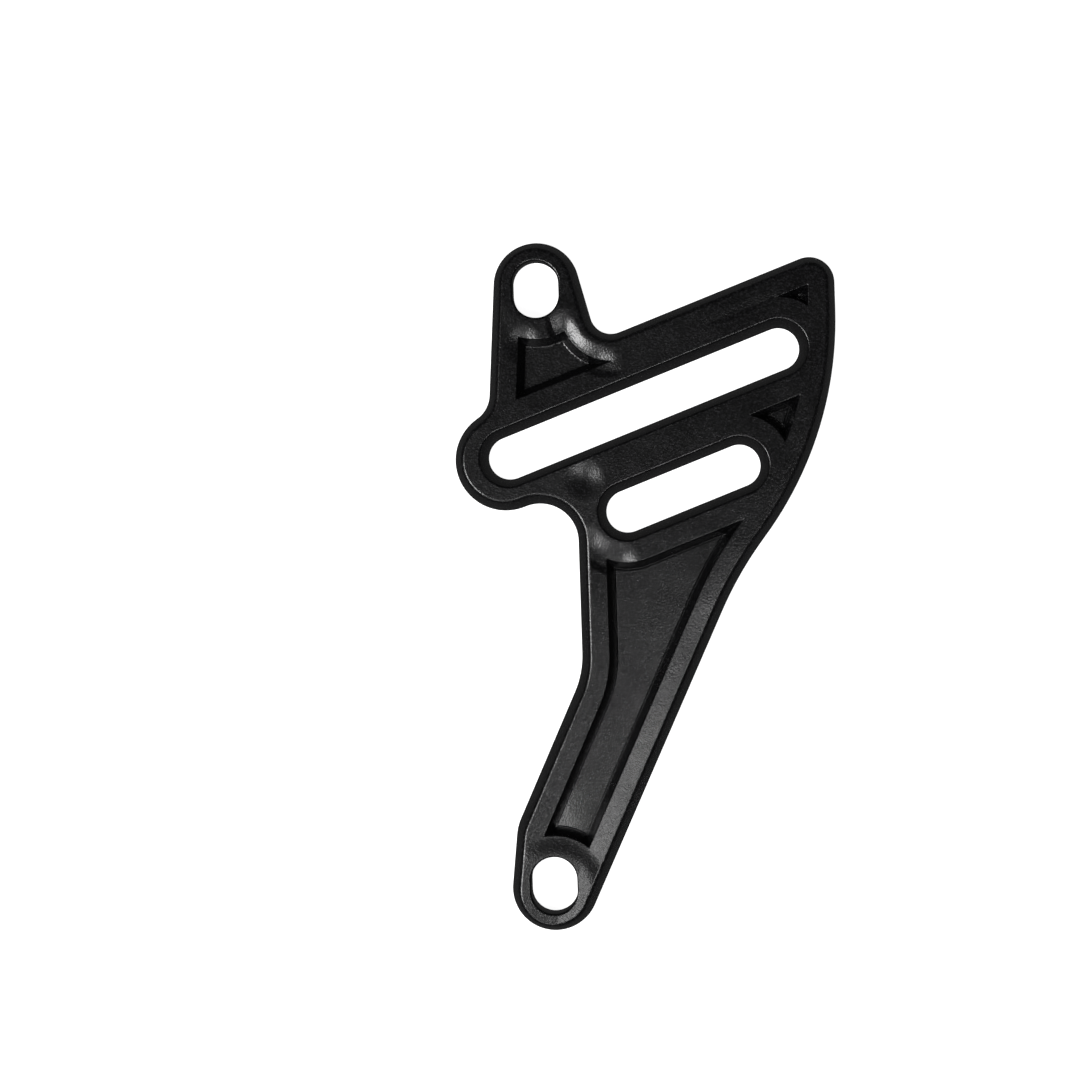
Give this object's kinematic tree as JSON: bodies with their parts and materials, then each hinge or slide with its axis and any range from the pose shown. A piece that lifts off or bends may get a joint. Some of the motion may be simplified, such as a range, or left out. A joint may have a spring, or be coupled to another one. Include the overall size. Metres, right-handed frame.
{
  "type": "motorcycle sprocket cover",
  "caption": "Moulded black plastic cover for a motorcycle's drive sprocket: a ribbed plate with bolt ears at both ends, slanted windows and shallow recesses.",
  "frame": {"origin": "On the flat back face, midway between the centres of the two bolt holes.", "axes": "+Z out of the ribbed face, away from the engine; +Y from the origin to the upper bolt hole; +X towards the side with the windows."},
  "size_m": [0.0759, 0.1356, 0.0064],
  "materials": {
    "black_plastic": "satin, finely grained"
  },
  "bodies": {
    "root": {"sprocket_cover": "black_plastic"}
  },
  "joints": []
}
